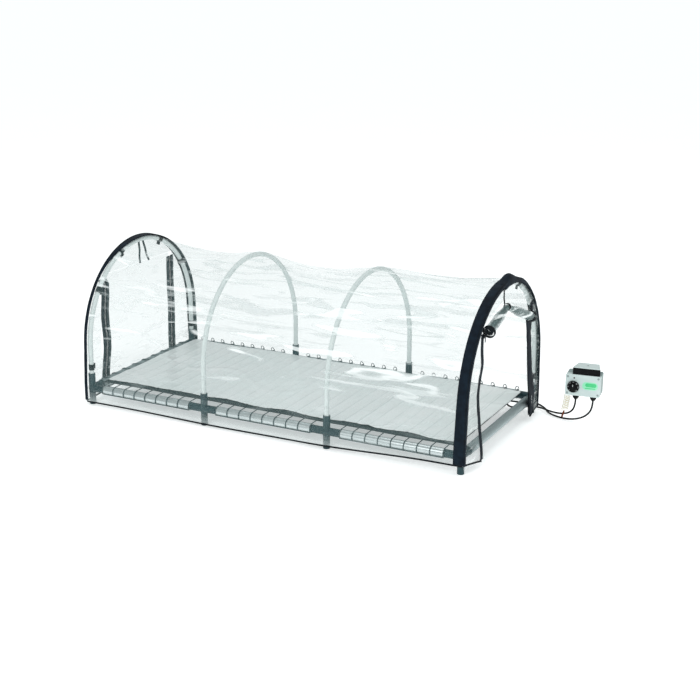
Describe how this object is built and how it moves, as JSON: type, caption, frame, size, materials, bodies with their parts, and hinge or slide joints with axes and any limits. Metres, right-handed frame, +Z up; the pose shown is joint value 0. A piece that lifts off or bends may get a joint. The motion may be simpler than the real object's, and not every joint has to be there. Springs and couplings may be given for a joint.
{
  "type": "heated propagation tunnel",
  "caption": "Low heated growing tunnel with a clear film cover over arched hoops, a foil heating mat on a wire grid, zipped end doors and a dial thermostat box.",
  "frame": {"origin": "on the floor, in the middle of the four corner feet", "axes": "+X along the tunnel towards the open end, +Y from the front wall to the rear wall, +Z up"},
  "size_m": [1.6211, 0.7881, 0.5255],
  "materials": {
    "slate_plastic": "satin",
    "aluminium_tube": "satin",
    "white_tube": "gloss",
    "steel_wire": "satin",
    "foil": "satin",
    "black_plastic": "satin",
    "clear_film": "gloss",
    "navy_webbing": "matte",
    "dark_metal": "satin",
    "box_plastic": "satin",
    "plate_plastic": "satin",
    "steel_bright": "satin",
    "lens": "gloss",
    "board": "satin",
    "black_cord": "matte",
    "cream_cord": "satin",
    "copper_bulb": "satin"
  },
  "bodies": {
    "frame": {"band_left": "navy_webbing", "band_right": "navy_webbing", "cable_glands": "black_plastic", "circuit_board": "board", "connector_front_left": "slate_plastic", "connector_front_mid_left": "slate_plastic", "connector_front_mid_right": "slate_plastic", "connector_front_right": "slate_plastic", "connector_rear_left": "slate_plastic", "connector_rear_mid_left": "slate_plastic", "connector_rear_mid_right": "slate_plastic", "connector_rear_right": "slate_plastic", "cover_roof": "clear_film", "door_roll": "clear_film", "end_film_left": "clear_film", "end_film_right": "clear_film", "hanger_block": "black_plastic", "hanger_plate": "plate_plastic", "heating_mat": "foil", "hem_binding": "navy_webbing", "hoop_1": "white_tube", "hoop_2": "white_tube", "hoop_3": "white_tube", "hoop_4": "white_tube", "hoop_tabs": "navy_webbing", "indicator_lens": "lens", "lid_screws": "steel_bright", "mains_coil": "black_cord", "mains_lead": "black_cord", "mains_plug": "black_plastic", "mat_lead": "black_cord", "mat_lead_joint": "black_plastic", "rail_end_left": "aluminium_tube", "rail_end_right": "aluminium_tube", "rail_front_1": "aluminium_tube", "rail_front_2": "aluminium_tube", "rail_front_3": "aluminium_tube", "rail_rear_1": "aluminium_tube", "rail_rear_2": "aluminium_tube", "rail_rear_3": "aluminium_tube", "sensor_bulb": "copper_bulb", "sensor_lead": "cream_cord", "support_grid": "steel_wire", "thermostat_case": "box_plastic", "thermostat_lid": "box_plastic", "tie_right": "navy_webbing", "ties_left": "navy_webbing", "zip_tapes": "navy_webbing"},
    "left_door": {"door_left": "clear_film", "door_zip_tapes": "navy_webbing"},
    "dial": {"thermostat_knob": "black_plastic", "knob_spindle": "steel_bright"},
    "left_front_slider": {"zip_slider_left_front": "dark_metal"},
    "left_front_pull": {"zip_pull_left_front": "dark_metal"},
    "left_rear_slider": {"zip_slider_left_rear": "dark_metal"},
    "left_rear_pull": {"zip_pull_left_rear": "dark_metal"},
    "right_front_slider": {"zip_slider_right_front": "dark_metal"},
    "right_front_pull": {"zip_pull_right_front": "dark_metal"},
    "right_rear_slider": {"zip_slider_right_rear": "dark_metal"},
    "right_rear_pull": {"zip_pull_right_rear": "dark_metal"}
  },
  "joints": [
    {"name": "left_door_lift", "type": "hinge", "parent": "frame", "child": "left_door", "pos_m": [-0.69145, 0, 0.4252], "axis": [0, 1, 0], "range_deg": [0, 100]},
    {"name": "dial_turn", "type": "hinge", "parent": "frame", "child": "dial", "pos_m": [0.83613, 0.23888, 0.136], "axis": [-0.1392, 0.9903, 0], "range_deg": [-135, 135]},
    {"name": "left_front_zip_slide", "type": "slide", "parent": "frame", "child": "left_front_slider", "axis": [0, 0, 1], "range_m": [0, 0.373]},
    {"name": "left_front_pull_swing", "type": "hinge", "parent": "left_front_slider", "child": "left_front_pull", "pos_m": [-0.6986, -0.2084, 0.032], "axis": [0, 1, 0], "range_deg": [0, 160]},
    {"name": "left_rear_zip_slide", "type": "slide", "parent": "frame", "child": "left_rear_slider", "axis": [0, 0, 1], "range_m": [0, 0.373]},
    {"name": "left_rear_pull_swing", "type": "hinge", "parent": "left_rear_slider", "child": "left_rear_pull", "pos_m": [-0.6986, 0.2084, 0.032], "axis": [0, 1, 0], "range_deg": [0, 160]},
    {"name": "right_front_zip_slide", "type": "slide", "parent": "frame", "child": "right_front_slider", "axis": [0, 0, 1], "range_m": [-0.373, 0]},
    {"name": "right_front_pull_swing", "type": "hinge", "parent": "right_front_slider", "child": "right_front_pull", "pos_m": [0.6986, -0.2084, 0.405], "axis": [0, -1, 0], "range_deg": [0, 160]},
    {"name": "right_rear_zip_slide", "type": "slide", "parent": "frame", "child": "right_rear_slider", "axis": [0, 0, 1], "range_m": [-0.373, 0]},
    {"name": "right_rear_pull_swing", "type": "hinge", "parent": "right_rear_slider", "child": "right_rear_pull", "pos_m": [0.6986, 0.2084, 0.405], "axis": [0, -1, 0], "range_deg": [0, 160]}
  ]
}
